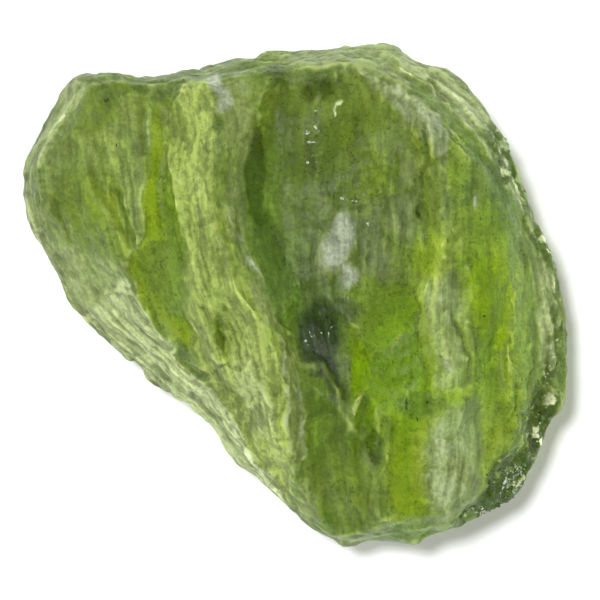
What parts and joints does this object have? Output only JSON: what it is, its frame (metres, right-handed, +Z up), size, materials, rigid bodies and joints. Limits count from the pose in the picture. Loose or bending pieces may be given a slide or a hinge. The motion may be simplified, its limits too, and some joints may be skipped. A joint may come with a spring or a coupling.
{
  "type": "moldavite",
  "caption": "Raw moldavite, a flat irregular piece of natural green glass with a long crest, a broad scoop and etched flutes.",
  "frame": {"origin": "middle of the bounding box in plan, at the height of the surface that the stone rests on", "axes": "+X across the stone along its longest extent, +Y along its flow lines towards the wide end, +Z up from the resting surface through the face in the picture"},
  "size_m": [0.0262, 0.0244, 0.0103],
  "materials": {
    "green_glass": "etched, satin"
  },
  "bodies": {
    "root": {"moldavite": "green_glass"}
  },
  "joints": []
}
